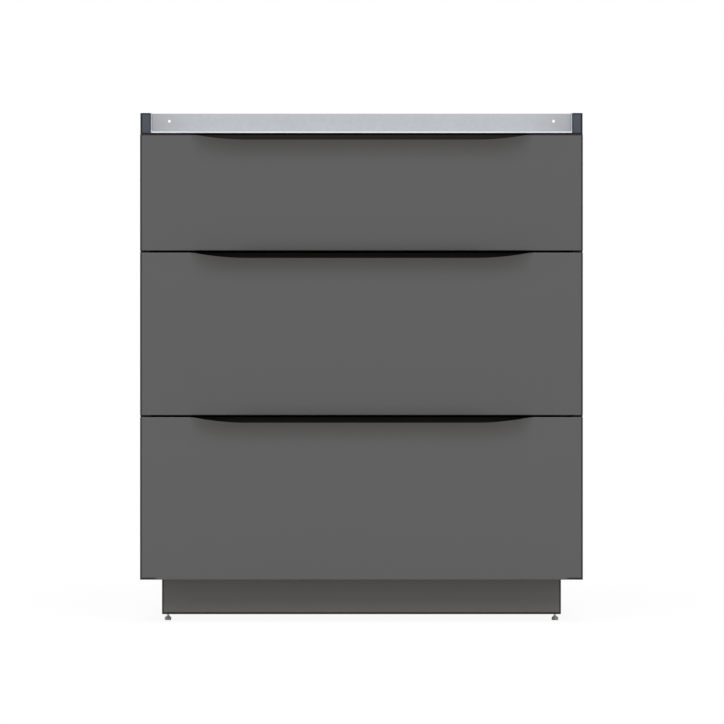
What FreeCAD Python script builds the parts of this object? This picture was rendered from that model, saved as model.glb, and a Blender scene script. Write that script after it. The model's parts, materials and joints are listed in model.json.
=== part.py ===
import FreeCAD, Part
import math
import os

# Kitchen base cabinet with one shallow and two deep drawers.
# Millimetres, +Z up, +X to the viewer's right, the drawers open towards -Y.
# The origin is on the floor, under the middle of the whole cabinet's outer box.

# ---------------------------------------------------------------- driving dimensions
# Body
carcass_width = 762.0
carcass_height = 802.2
carcass_depth = 590.0
board = 18.0                    # side panels, bottom panel and rear rail
back_board = 6.0
back_inset = 12.0               # rear edge of the sides to the back panel
back_groove_depth = 8.0
rear_rail_height = 100.0
wall_hole_radius = 3.0
wall_hole_inset = 113.0         # side panel's inner face to the wall-fixing hole

# Pressed metal rail across the top of the front
rail_steel = 1.5
rail_height = 35.0
rail_setback = 1.0              # behind the side panels' front edge
rail_recess = 18.0              # front lip to web
rail_lip = 3.2                  # upturned front lip
rail_skirt = 7.5                # web below the lower flange, behind the gap over the top front
rail_top_flange = 40.0
rail_hole_radius = 2.5
rail_hole_inset = 31.1          # side panel's inner face to the hole
rail_hole_drop = 13.1           # below the rail's top
rail_screw_setback = 12.0       # web to the rail's first side screw
rail_screw_rear_inset = 8.0     # upper flange's rear edge to the second side screw
worktop_hole_inset = 113.0      # side panel's inner face to the worktop screw's hole

# Plinth and levelling feet
plinth_board = 18.0
plinth_height = 64.4
plinth_side_inset = 35.0
plinth_front_inset = 45.0
plinth_rear_inset = 40.0
block_size = 30.0
block_recess = 20.0             # depth of the upright screw's recess in the corner block
block_screw_aside = 9.0         # block's middle to the level screws, away from the upright one
plinth_screw_inset = 19.5       # plinth's lower and upper edge to the level screws
foot_setback = 10.0             # plinth's front or back board to the foot's centre
pad_radius = 5.75
pad_height = 6.6
pad_chamfer = 0.8
collar_radius = 4.4
collar_height = 1.6
stud_radius = 2.5
stud_show = 3.6                 # stud between the collar and the plinth
stud_grip = 20.0                # stud inside the plinth board
spigot_radius = 1.8             # the stud's lower end, inside the pad
spigot_length = 4.0
insert_radius = 4.0
insert_length = 14.0
stud_room = 8.0                 # free hole above the stud

# Drawer fronts
front_thickness = 20.0
front_side_reveal = 0.8         # each side panel shows this much beside the front
front_gap = 3.5
front_overhang = 0.8            # the lowest front ends below the bottom panel
front_standoff = 2.0            # front's rear face to the body
top_front_height = 199.3
front_edge_radius = 1.5

# Finger lip along each front's top edge
lip_margin = 85.0               # front's end to the lip's end
lip_end_run = 100.0             # length of each S-shaped end
lip_lead_radius = 53.0          # radius where the S begins
lip_dip = 9.5                   # lip below the front's top edge
lip_reach = 12.0                # lip in front of the face
lip_flare_height = 45.0         # height over which the face curves out
lip_wall = 5.0
lip_groove_depth = 28.0
lip_back_wall = 6.0             # what is left of the front behind the groove
lip_stations = 8                # sections in each S-shaped end
lip_growth = 0.6                # the reach grows as this power of the drop
station_spread = 0.6            # under 1, the sections crowd towards the lip's margin

# Drawer boxes
box_board = 16.0
box_bottom_board = 6.0
box_bottom_lift = 10.0          # box's lower edge to its bottom board
box_joint_depth = 6.0           # depth of the rebates and grooves
box_lift = 33.0                 # front's lower edge to the box
box_top_drop = 46.0             # front's top edge to the box
box_rear_room = 24.0            # box to the back panel

# Telescopic runners, three members on each side of a drawer
runner_width = 13.0
runner_height = 45.0
runner_steel = 1.2
runner_gap = 0.3                # between one member and the next
runner_lip = 4.5                # turned-in edge of the cabinet member
runner_mouth = 10.5             # depth of the cabinet member
runner_lift = 45.0              # box's lower edge to the runner's centre line
runner_setback = 4.0            # carcass's front edge to the runner
runner_rear_room = 16.0         # runner's end to the box's rear end

# Fasteners
screw_radius = 2.0
screw_head_radius = 3.2
screw_head_height = 1.2
runner_screw_length = 14.0
runner_screw_setback = 33.0     # runner's end to its first and last screw
front_screw_length = 30.0
front_screw_inset = 150.0       # box side to the front-fixing screw
front_screw_rise = 30.0         # box's lower and upper edge to the screw
back_screw_length = 18.0
back_screw_inset = 60.0
block_screw_grip = 12.0         # length of a plinth screw in the board beyond its block
fit_clearance = 0.1             # round every fastener, insert and grooved panel
stud_clearance = 0.05
cam_radius = 7.5
cam_height = 12.5
cam_setback = 34.0              # panel's end to the cam's centre
cam_bolt_radius = 3.0
cam_bolt_grip = 11.0            # bolt in the side panel
dowel_radius = 4.0
dowel_length = 30.0
dowel_grip = 12.0               # dowel in the side panel
joint_setback = 60.0            # panel's edge to its first joint fitting
dowel_spacing = 32.0            # cam bolt to the dowel beside it
bumper_radius = 5.0
bumper_height = 1.8
bumper_inset = 25.0

# ---------------------------------------------------------------- derived levels
deep_drawer_count = 2
rail_zone = rail_height + front_gap
deep_front_height = (
    carcass_height + front_overhang - rail_zone - top_front_height - deep_drawer_count * front_gap
) / deep_drawer_count

total_depth = lip_reach + front_thickness + front_standoff + carcass_depth
y_lip = -total_depth / 2
y_face = y_lip + lip_reach
y_front_back = y_face + front_thickness
y_body = y_front_back + front_standoff
y_rear = y_body + carcass_depth
y_back_panel = y_rear - back_inset - back_board
y_box_rear = y_back_panel - box_rear_room
y_runner = y_body + runner_setback
y_runner_end = y_box_rear - runner_rear_room

z_plinth = pad_height + collar_height + stud_show
z_body = z_plinth + plinth_height
z_top = z_body + carcass_height
z_floor_panel = z_body + board
z_rail = z_top - rail_height

x_side = carcass_width / 2
x_inner = x_side - board
x_front = x_side - front_side_reveal
x_box = x_inner - runner_width
x_box_inner = x_box - box_board
x_box_joint = x_box_inner + box_joint_depth
x_plinth = x_side - plinth_side_inset
x_foot = x_plinth - plinth_board / 2

y_plinth = y_body + plinth_front_inset
y_plinth_rear = y_rear - plinth_rear_inset
foot_rows = {
    "front": y_plinth + plinth_board + foot_setback,
    "rear": y_plinth_rear - plinth_board - foot_setback,
}
foot_sides = {"left": -x_foot, "right": x_foot}
foot_places = {
    f"{row}_{side}": (x, y)
    for row, y in foot_rows.items()
    for side, x in foot_sides.items()
}

z_low_front = z_body - front_overhang
z_mid_front = z_low_front + deep_front_height + front_gap
z_top_front = z_mid_front + deep_front_height + front_gap
drawers = {
    "bottom": (z_low_front, deep_front_height),
    "middle": (z_mid_front, deep_front_height),
    "top": (z_top_front, top_front_height),
}


# ---------------------------------------------------------------- small helpers
def block(x_span, y_span, z_span):
    """A box between two values on each axis."""
    size = [high - low for low, high in (x_span, y_span, z_span)]
    return Part.makeBox(*size, FreeCAD.Vector(x_span[0], y_span[0], z_span[0]))


def rod(radius, start, end):
    """A round bar between two points."""
    start = FreeCAD.Vector(*start)
    path = FreeCAD.Vector(*end) - start
    return Part.makeCylinder(radius, path.Length, start, path)


def countersunk_screw(head, direction, length, grow=0.0):
    """A flat-headed screw whose head face is centred on a point; grown, it is its own hole."""
    head = FreeCAD.Vector(*head)
    direction = FreeCAD.Vector(*direction)
    cone = Part.makeCone(
        screw_head_radius + grow, screw_radius + grow, screw_head_height, head, direction
    )
    shank = Part.makeCylinder(screw_radius + grow, length + grow, head, direction)
    return cone.fuse(shank).removeSplitter()


def screw_hole(head, direction, length):
    return countersunk_screw(head, direction, length, fit_clearance)


def mirrored(shape):
    """The same shape on the other side of the cabinet."""
    return shape.mirror(FreeCAD.Vector(0, 0, 0), FreeCAD.Vector(1, 0, 0))


def both_sides(shapes):
    """Right-hand shapes followed by their left-hand copies."""
    return list(shapes) + [mirrored(shape) for shape in shapes]


def without(shape, cutters):
    """The shape less every cutter."""
    return shape.cut(Part.makeCompound(list(cutters))).removeSplitter()


def polygon_bar(points, vector):
    """A straight bar whose section is a polygon."""
    return Part.Face(Part.makePolygon(points + points[:1])).extrude(vector)


def save(name, shape):
    """Writes one node; a list of shapes becomes a group of separate solids."""
    if isinstance(shape, list):
        shape = Part.makeCompound(shape)
    shape.exportStep(f"parts/{name}.step")


# ---------------------------------------------------------------- joint fittings of the body
y_bottom_panel_end = y_back_panel
bottom_joint_rows = [
    y_body + joint_setback,
    (y_body + y_bottom_panel_end) / 2,
    y_bottom_panel_end - joint_setback,
]
z_bottom_mid = z_body + board / 2
y_rear_rail = y_back_panel - board
y_rear_rail_mid = y_rear_rail + board / 2
z_rear_rail = z_top - rear_rail_height
z_rear_rail_mid = z_rear_rail + rear_rail_height / 2


def cam_bolt_places():
    """Where the right-hand cam bolts cross the side panel's inner face."""
    bottom = [(y, z_bottom_mid) for y in bottom_joint_rows]
    return bottom + [(y_rear_rail_mid, z_rear_rail_mid)]


def dowel_places():
    """Where the right-hand dowels cross the side panel's inner face."""
    bottom = [(y + dowel_spacing, z_bottom_mid) for y in bottom_joint_rows[:-1]]
    rail = [(y_rear_rail_mid, z_rear_rail_mid + way * dowel_spacing) for way in (-1, 1)]
    return bottom + rail


def cam_bolts(grow=0.0):
    """Right-hand cam bolts, from inside the side panel to the cam's middle."""
    x_tip = x_inner + cam_bolt_grip + grow
    return [
        rod(cam_bolt_radius + grow, (x_inner - cam_setback, y, z), (x_tip, y, z))
        for y, z in cam_bolt_places()
    ]


def cam_locks(grow=0.0):
    """Right-hand cam discs: in the bottom panel's underside and the rear rail's front."""
    x = x_inner - cam_setback
    radius = cam_radius + grow
    height = cam_height + grow
    locks = [rod(radius, (x, y, z_body), (x, y, z_body + height)) for y in bottom_joint_rows]
    locks.append(
        rod(radius, (x, y_rear_rail, z_rear_rail_mid), (x, y_rear_rail + height, z_rear_rail_mid))
    )
    return locks


def dowels(grow=0.0):
    """Right-hand dowels."""
    x_tip = x_inner + dowel_grip + grow
    x_root = x_inner + dowel_grip - dowel_length - grow
    return [rod(dowel_radius + grow, (x_root, y, z), (x_tip, y, z)) for y, z in dowel_places()]


def joint_holes():
    """Everything that the right-hand fittings need cut away from the panels."""
    return cam_bolts(fit_clearance) + cam_locks(fit_clearance) + dowels(fit_clearance)


# ---------------------------------------------------------------- runners
def runner_section(points, z_middle):
    """Turns a half outline of depth and height into a closed right-hand section."""
    outline = points + [(depth, -rise) for depth, rise in reversed(points)]
    return [FreeCAD.Vector(x_inner - depth, y_runner, z_middle + rise) for depth, rise in outline]


def runner_bar(points, z_middle):
    length = FreeCAD.Vector(0, y_runner_end - y_runner, 0)
    return polygon_bar(runner_section(points, z_middle), length)


def runner_screw_rows():
    """Distances along Y of the three screws in a runner member."""
    first = y_runner + runner_screw_setback
    last = y_runner_end - runner_screw_setback
    return [first, (first + last) / 2, last]


def cabinet_member(z_middle):
    """The outer channel, screwed to the side panel."""
    steel = runner_steel
    half = runner_height / 2
    points = [
        (0.0, half),
        (runner_mouth, half),
        (runner_mouth, half - runner_lip),
        (runner_mouth - steel, half - runner_lip),
        (runner_mouth - steel, half - steel),
        (steel, half - steel),
    ]
    return without(runner_bar(points, z_middle), cabinet_screws(z_middle, screw_hole))


def intermediate_member(z_middle):
    """The channel that travels half as far as the drawer."""
    steel = runner_steel
    start = steel + runner_gap
    mouth = runner_mouth - steel - runner_gap
    half = runner_height / 2 - steel - runner_gap
    lip_end = runner_height / 2 - runner_lip
    points = [
        (start, half),
        (mouth, half),
        (mouth, lip_end),
        (mouth - steel, lip_end),
        (mouth - steel, half - steel),
        (start + steel, half - steel),
    ]
    return runner_bar(points, z_middle)


def drawer_member(z_middle):
    """The inner channel, screwed to the drawer's side."""
    steel = runner_steel
    flange = runner_height / 2 - runner_lip - runner_gap
    hook = runner_height / 2 - 2 * (steel + runner_gap)
    hook_front = runner_mouth - 2 * (steel + runner_gap)
    points = [
        (runner_width, flange),
        (hook_front, flange),
        (hook_front, hook),
        (hook_front - steel, hook),
        (hook_front - steel, flange - steel),
        (runner_width - steel, flange - steel),
    ]
    return without(runner_bar(points, z_middle), drawer_member_screws(z_middle, screw_hole))


def cabinet_screws(z_middle, make=countersunk_screw):
    """Right-hand screws of a cabinet member, or their holes."""
    x = x_inner - runner_steel
    return [make((x, y, z_middle), (1, 0, 0), runner_screw_length) for y in runner_screw_rows()]


def drawer_member_screws(z_middle, make=countersunk_screw):
    """Right-hand screws of a drawer member, or their holes."""
    x = x_box + runner_steel
    return [make((x, y, z_middle), (-1, 0, 0), runner_screw_length) for y in runner_screw_rows()]


def runner_middle(front_bottom):
    return front_bottom + box_lift + runner_lift


# ---------------------------------------------------------------- body panels
def rail_screws(make=countersunk_screw):
    """Right-hand screws of the pressed rail, behind its web."""
    x = x_inner - rail_steel
    z = (z_rail + z_top) / 2
    y_web = y_body + rail_setback + rail_recess
    rows = (y_web + rail_screw_setback, y_web + rail_top_flange - rail_screw_rear_inset)
    return [make((x, y, z), (1, 0, 0), runner_screw_length) for y in rows]


def right_side_panel():
    panel = block((x_inner, x_side), (y_body, y_rear), (z_body, z_top))
    groove = block(
        (x_inner, x_inner + back_groove_depth),
        (y_back_panel, y_back_panel + back_board + fit_clearance),
        (z_body, z_top),
    )
    holes = [groove] + joint_holes() + rail_screws(screw_hole)
    for front_bottom, _ in drawers.values():
        holes += cabinet_screws(runner_middle(front_bottom), screw_hole)
    return without(panel, holes)


def back_screw_places():
    """Where the back panel is screwed to the bottom panel and to the rear rail."""
    rows = (z_bottom_mid, z_rear_rail_mid - dowel_spacing)
    columns = (-x_inner + back_screw_inset, 0.0, x_inner - back_screw_inset)
    return [(x, y_back_panel + back_board, z) for x in columns for z in rows]


def back_screws(make=countersunk_screw):
    return [make(place, (0, -1, 0), back_screw_length) for place in back_screw_places()]


def wall_holes():
    """Two holes through the rear rail and the back panel, for the wall screws."""
    x = x_inner - wall_hole_inset
    hole = rod(wall_hole_radius, (x, y_rear_rail, z_rear_rail_mid), (x, y_rear, z_rear_rail_mid))
    return both_sides([hole])


def bottom_panel():
    panel = block((-x_inner, x_inner), (y_body, y_bottom_panel_end), (z_body, z_floor_panel))
    holes = both_sides(joint_holes()) + back_screws(screw_hole) + plinth_screws(screw_hole)
    return without(panel, holes)


def back_panel():
    reach = x_inner + back_groove_depth - fit_clearance
    panel = block((-reach, reach), (y_back_panel, y_back_panel + back_board), (z_body, z_top))
    return without(panel, back_screws(screw_hole) + wall_holes())


def rear_top_rail():
    rail = block((-x_inner, x_inner), (y_rear_rail, y_back_panel), (z_rear_rail, z_top))
    return without(rail, both_sides(joint_holes()) + back_screws(screw_hole) + wall_holes())


def front_top_rail():
    """Pressed pan: front lip, lower flange, set-back web, upper flange and two end plates."""
    steel = rail_steel
    y_start = y_body + rail_setback
    y_web = y_start + rail_recess
    y_end = y_web + rail_top_flange
    across = (-x_inner, x_inner)
    rail = block(across, (y_start, y_web + steel), (z_rail, z_rail + steel))
    rail = rail.fuse([
        block(across, (y_start, y_start + steel), (z_rail, z_rail + rail_lip)),
        block(across, (y_web, y_web + steel), (z_rail - rail_skirt, z_top)),
        block(across, (y_web, y_end), (z_top - steel, z_top)),
        block((x_inner - steel, x_inner), (y_start, y_end), (z_rail, z_top)),
        block((-x_inner, steel - x_inner), (y_start, y_end), (z_rail, z_top)),
    ])
    x = x_inner - rail_hole_inset
    z = z_top - rail_hole_drop
    web_hole = rod(rail_hole_radius, (x, y_web - steel, z), (x, y_web + 2 * steel, z))
    x = x_inner - worktop_hole_inset
    y = (y_web + y_end) / 2
    top_hole = rod(rail_hole_radius, (x, y, z_top - 2 * steel), (x, y, z_top + steel))
    return without(rail, both_sides([web_hole, top_hole] + rail_screws(screw_hole)))


# ---------------------------------------------------------------- plinth and feet
def corner_block_centres():
    """Middle of each corner block, with the ways to its side board and its end board."""
    x = x_plinth - plinth_board - block_size / 2
    y_front = y_plinth + plinth_board + block_size / 2
    y_back = y_plinth_rear - plinth_board - block_size / 2
    return [(side * x, y, side, way) for side in (-1, 1) for y, way in ((y_front, -1), (y_back, 1))]


def plinth_corner_blocks():
    half = block_size / 2
    recess_radius = screw_head_radius + fit_clearance
    blocks = []
    for x, y, _, _ in corner_block_centres():
        piece = block((x - half, x + half), (y - half, y + half), (z_plinth, z_body))
        recess = rod(recess_radius, (x, y, z_plinth), (x, y, z_plinth + block_recess))
        blocks.append(without(piece, [recess] + plinth_screws(screw_hole)))
    return blocks


def plinth_screws(make=countersunk_screw):
    """One upright and two level screws in each corner block."""
    half = block_size / 2
    level_length = block_size + block_screw_grip
    upright_length = plinth_height - block_recess + block_screw_grip
    z_low = z_plinth + plinth_screw_inset
    z_high = z_body - plinth_screw_inset
    screws = []
    for x, y, side, way in corner_block_centres():
        x_aside = x - side * block_screw_aside
        y_aside = y - way * block_screw_aside
        screws.append(make((x, y, z_plinth + block_recess), (0, 0, 1), upright_length))
        screws.append(make((x - side * half, y_aside, z_low), (side, 0, 0), level_length))
        screws.append(make((x_aside, y - way * half, z_high), (0, way, 0), level_length))
    return screws


def plinth_end_board(y_start):
    """The front or the back board of the plinth, as wide as the plinth."""
    span = (y_start, y_start + plinth_board)
    panel = block((-x_plinth, x_plinth), span, (z_plinth, z_body))
    return without(panel, plinth_screws(screw_hole))


def right_plinth_board():
    """A side board of the plinth, drilled from below for its feet."""
    y_span = (y_plinth + plinth_board, y_plinth_rear - plinth_board)
    panel = block((x_plinth - plinth_board, x_plinth), y_span, (z_plinth, z_body))
    holes = plinth_screws(screw_hole)
    for y in foot_rows.values():
        z_insert = z_plinth + insert_length
        z_end = z_plinth + stud_grip + stud_room
        holes.append(rod(insert_radius + fit_clearance, (x_foot, y, z_plinth), (x_foot, y, z_insert)))
        holes.append(rod(stud_radius + fit_clearance, (x_foot, y, z_plinth), (x_foot, y, z_end)))
    return without(panel, holes)


def foot_inserts():
    """Threaded inserts in the plinth boards' lower edges, thread as a plain bore."""
    inserts = []
    for x, y in foot_places.values():
        sleeve = rod(insert_radius, (x, y, z_plinth), (x, y, z_plinth + insert_length))
        bore = rod(stud_radius + stud_clearance, (x, y, z_plinth), (x, y, z_plinth + insert_length))
        inserts.append(sleeve.cut(bore))
    return inserts


def foot_pad(x, y):
    """Glide pad with a blind hole for the stud's lower end."""
    pad = rod(pad_radius, (x, y, 0), (x, y, pad_height))
    edges = [edge for edge in pad.Edges if edge.Curve.TypeId == "Part::GeomCircle"]
    pad = pad.makeChamfer(pad_chamfer, edges)
    socket_radius = spigot_radius + stud_clearance
    z_socket = pad_height - spigot_length - stud_clearance
    return pad.cut(rod(socket_radius, (x, y, z_socket), (x, y, pad_height)))


def foot_stud(x, y):
    """Stud with a conical collar that stands on the pad."""
    top = z_plinth + stud_grip
    shank = rod(stud_radius, (x, y, pad_height), (x, y, top))
    centre = FreeCAD.Vector(x, y, pad_height)
    collar = Part.makeCone(collar_radius, stud_radius, collar_height, centre)
    spigot = rod(spigot_radius, (x, y, pad_height - spigot_length), (x, y, pad_height))
    return shank.fuse([collar, spigot]).removeSplitter()


# ---------------------------------------------------------------- drawer fronts
lip_turn = 2 * math.atan(lip_dip / lip_end_run)
lip_tail_radius = lip_end_run / math.sin(lip_turn) - lip_lead_radius
lip_far_x = x_front - lip_margin
lip_near_x = lip_far_x - lip_end_run


def lip_drop(x):
    """How far the lip lies below the front's top edge at a place in its S-shaped end."""
    run = lip_far_x - x
    lead_run = lip_lead_radius * math.sin(lip_turn)
    if run <= lead_run:
        return lip_lead_radius - math.sqrt(lip_lead_radius ** 2 - run ** 2)
    rest = x - lip_near_x
    return lip_dip - lip_tail_radius + math.sqrt(lip_tail_radius ** 2 - rest ** 2)


def lip_forward(x):
    """How far the lip stands out of the face there: it grows a little sooner than the drop."""
    return lip_reach * (max(lip_drop(x), 0.0) / lip_dip) ** lip_growth


def lip_section(x, z_lip, z_low, z_high, y_wall, y_back):
    """Section across the flare between two heights, its front on a cubic through the lip."""
    z_start = z_lip - lip_flare_height
    low = (z_low - z_start) / lip_flare_height
    high = (z_high - z_start) / lip_flare_height
    forward = lip_forward(abs(x))
    growth = (low ** 3, low ** 2 * high, low * high ** 2, high ** 3)
    z_step = (z_high - z_low) / (len(growth) - 1)
    poles = [
        FreeCAD.Vector(x, y_wall - forward * share, z_low + step * z_step)
        for step, share in enumerate(growth)
    ]
    curve = Part.BezierCurve()
    curve.setPoles(poles)
    back_high = FreeCAD.Vector(x, y_back, z_high)
    back_low = FreeCAD.Vector(x, y_back, z_low)
    return Part.Wire([
        curve.toShape(),
        Part.makeLine(poles[-1], back_high),
        Part.makeLine(back_high, back_low),
        Part.makeLine(back_low, poles[0]),
    ])


def flared_bar(x_end, z_lip, z_low, z_high, y_wall, y_back):
    """The flare between two heights, out to x_end on each side: a middle and two shaped ends."""
    heights = (z_lip, z_low, z_high, y_wall, y_back)
    middle_face = Part.Face(lip_section(-lip_near_x, *heights))
    middle = middle_face.extrude(FreeCAD.Vector(2 * lip_near_x, 0, 0))
    run = x_end - lip_near_x
    shares = [(step / lip_stations) ** station_spread for step in range(lip_stations + 1)]
    sections = [lip_section(lip_near_x + run * share, *heights) for share in shares]
    end = Part.makeLoft(sections, True)
    return middle.fuse(both_sides([end]))


def top_edge_cutter(z_edge):
    """What is cut away above the lip: its outline is two arcs, a straight and two arcs."""
    z_lip = z_edge - lip_dip
    z_over = z_edge + lip_dip
    y = y_lip - lip_reach

    def arc(x_centre, z_centre, radius, angles, side):
        points = [
            FreeCAD.Vector(
                side * (x_centre + radius * math.sin(angle)), y, z_centre + radius * math.cos(angle)
            )
            for angle in angles
        ]
        return Part.Arc(*points).toShape()

    def s_end(side):
        lead_centre = (lip_far_x, z_edge - lip_lead_radius)
        tail_centre = (lip_near_x, z_lip + lip_tail_radius)
        lead = arc(*lead_centre, lip_lead_radius, (0, -lip_turn / 2, -lip_turn), side)
        tail_angles = [math.pi - lip_turn * share for share in (1, 0.5, 0)]
        tail = arc(*tail_centre, lip_tail_radius, tail_angles, side)
        return [lead, tail]

    def corner(side, z):
        x = lip_far_x if z > z_lip else lip_near_x
        return FreeCAD.Vector(side * x, y, z)

    edges = s_end(1) + s_end(-1) + [
        Part.makeLine(corner(1, z_lip), corner(-1, z_lip)),
        Part.makeLine(corner(1, z_edge), corner(1, z_over)),
        Part.makeLine(corner(1, z_over), corner(-1, z_over)),
        Part.makeLine(corner(-1, z_over), corner(-1, z_edge)),
    ]
    face = Part.Face(Part.Wire(Part.__sortEdges__(edges)))
    return face.extrude(FreeCAD.Vector(0, y_front_back - lip_back_wall - y, 0))


def drawer_front(z_bottom, height):
    """A slab whose top flares forward into a finger lip, with a groove behind the lip."""
    z_edge = z_bottom + height
    z_lip = z_edge - lip_dip
    z_flare = z_lip - lip_flare_height
    depth = (y_face, y_front_back)
    slab = block((-x_front, x_front), depth, (z_bottom, z_flare))
    end = block((lip_far_x, x_front), depth, (z_flare, z_edge))
    flare = flared_bar(lip_far_x, z_lip, z_flare, z_edge, y_face, y_front_back)
    front = slab.fuse(both_sides([end]) + [flare]).removeSplitter()

    def on_outline(edge):
        points = [vertex.Point for vertex in edge.Vertexes]
        at_face = all(abs(point.y - y_face) < fit_clearance for point in points)
        at_side = all(abs(abs(point.x) - x_front) < fit_clearance for point in points)
        at_bottom = all(abs(point.z - z_bottom) < fit_clearance for point in points)
        return at_face and (at_side or at_bottom)

    front = front.makeFillet(front_edge_radius, [edge for edge in front.Edges if on_outline(edge)])
    groove_end = lip_far_x - lip_wall
    groove = flared_bar(
        groove_end,
        z_lip,
        z_lip - lip_groove_depth,
        z_edge,
        y_face + lip_wall,
        y_front_back - lip_back_wall,
    )
    holes = front_screws(z_bottom, height, screw_hole)
    return without(front, [groove, top_edge_cutter(z_edge)] + holes)


def front_screws(z_bottom, height, make=countersunk_screw):
    """Screws through the box front into the drawer front."""
    y = y_front_back + box_board
    rows = (z_bottom + box_lift + front_screw_rise, z_bottom + height - box_top_drop - front_screw_rise)
    x = x_box_inner - front_screw_inset
    return [make((side * x, y, z), (0, -1, 0), front_screw_length) for side in (-1, 1) for z in rows]


def front_bumpers(z_bottom, height):
    """Soft discs on the front's rear face, opposite the side panels' front edges."""
    x = x_side - board / 2
    y_end = y_front_back + bumper_height
    rows = (z_bottom + bumper_inset, z_bottom + height - bumper_inset)
    discs = [rod(bumper_radius, (x, y_front_back, z), (x, y_end, z)) for z in rows]
    return both_sides(discs)


# ---------------------------------------------------------------- drawer boxes
def box_levels(z_bottom, height):
    """Lower and upper edge of a drawer's box."""
    return z_bottom + box_lift, z_bottom + height - box_top_drop


def box_bottom_slot(z_low, grow=fit_clearance):
    """The bottom board with room round it: what the other boards are grooved by."""
    z = z_low + box_bottom_lift
    x = x_box_joint + grow
    y_start = y_front_back + box_board - box_joint_depth - grow
    y_end = y_box_rear - box_board + box_joint_depth + grow
    return block((-x, x), (y_start, y_end), (z - grow, z + box_bottom_board + grow))


def box_side(z_bottom, height):
    """Right-hand side of the box, rebated for the box front and back."""
    z_span = box_levels(z_bottom, height)
    side = block((x_box_inner, x_box), (y_front_back, y_box_rear), z_span)
    rebate = (x_box_inner, x_box_joint)
    cutters = [
        block(rebate, (y_front_back, y_front_back + box_board), z_span),
        block(rebate, (y_box_rear - box_board, y_box_rear), z_span),
        box_bottom_slot(z_span[0]),
    ]
    return without(side, cutters + drawer_member_screws(runner_middle(z_bottom), screw_hole))


def box_end(z_bottom, height, y_start):
    """The box front or the box back, housed in the sides."""
    z_span = box_levels(z_bottom, height)
    end = block((-x_box_joint, x_box_joint), (y_start, y_start + box_board), z_span)
    return without(end, [box_bottom_slot(z_span[0])] + front_screws(z_bottom, height, screw_hole))


# ---------------------------------------------------------------- the nodes
side_panel = right_side_panel()
save("side_panel_right", side_panel)
save("side_panel_left", mirrored(side_panel))
save("bottom_panel", bottom_panel())
save("back_panel", back_panel())
save("rear_top_rail", rear_top_rail())
save("front_top_rail", front_top_rail())
save("front_rail_screws", both_sides(rail_screws()))
save("cam_bolts", both_sides(cam_bolts()))
save("cam_locks", both_sides([without(lock, cam_bolts(fit_clearance)) for lock in cam_locks()]))
save("panel_dowels", both_sides(dowels()))
save("back_panel_screws", back_screws())

save("plinth_front", plinth_end_board(y_plinth))
save("plinth_back", plinth_end_board(y_plinth_rear - plinth_board))
plinth_side = right_plinth_board()
save("plinth_right", plinth_side)
save("plinth_left", mirrored(plinth_side))
save("plinth_corner_blocks", plinth_corner_blocks())
save("plinth_screws", plinth_screws())
save("foot_inserts", foot_inserts())
for place, (foot_x, foot_y) in foot_places.items():
    save(f"foot_pad_{place}", foot_pad(foot_x, foot_y))
    save(f"foot_stud_{place}", foot_stud(foot_x, foot_y))

cabinet_runner_screws = []
for drawer, (front_bottom, front_height) in drawers.items():
    z_runner = runner_middle(front_bottom)
    cabinet_runner_screws += both_sides(cabinet_screws(z_runner))
    save(f"cabinet_runners_{drawer}", both_sides([cabinet_member(z_runner)]))
    save(f"intermediate_runners_{drawer}", both_sides([intermediate_member(z_runner)]))
    save(f"drawer_runners_{drawer}", both_sides([drawer_member(z_runner)]))

    z_box, _ = box_levels(front_bottom, front_height)
    side = box_side(front_bottom, front_height)
    save(f"drawer_side_right_{drawer}", side)
    save(f"drawer_side_left_{drawer}", mirrored(side))
    save(f"drawer_box_front_{drawer}", box_end(front_bottom, front_height, y_front_back))
    save(f"drawer_box_back_{drawer}", box_end(front_bottom, front_height, y_box_rear - box_board))
    save(f"drawer_bottom_{drawer}", box_bottom_slot(z_box, 0.0))
    save(f"drawer_front_{drawer}", drawer_front(front_bottom, front_height))
    member_screws = both_sides(drawer_member_screws(z_runner))
    save(f"drawer_screws_{drawer}", front_screws(front_bottom, front_height) + member_screws)
    save(f"front_bumpers_{drawer}", front_bumpers(front_bottom, front_height))
save("cabinet_runner_screws", cabinet_runner_screws)
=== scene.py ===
"""Kitchen base cabinet with one shallow and two deep drawers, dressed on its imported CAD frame."""

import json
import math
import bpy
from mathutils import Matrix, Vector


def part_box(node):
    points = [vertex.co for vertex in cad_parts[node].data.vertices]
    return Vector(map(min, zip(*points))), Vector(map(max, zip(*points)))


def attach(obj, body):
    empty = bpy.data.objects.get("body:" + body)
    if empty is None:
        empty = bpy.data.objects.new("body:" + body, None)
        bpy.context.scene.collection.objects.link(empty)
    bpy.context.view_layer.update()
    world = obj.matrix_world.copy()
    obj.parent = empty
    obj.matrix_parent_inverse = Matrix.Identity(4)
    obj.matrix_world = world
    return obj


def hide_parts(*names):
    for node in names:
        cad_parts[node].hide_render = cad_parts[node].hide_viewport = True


bl_info = {
    "name": "Drawer Base Cabinet",
    "version": (1, 0, 0),
    "blender": (4, 5, 0),
    "location": "View3D > Sidebar > Cabinet",
    "description": "Models and finishes a kitchen base cabinet with drawers",
    "category": "Object",
}

import bmesh
import bpy
from mathutils import Quaternion, Vector

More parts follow.
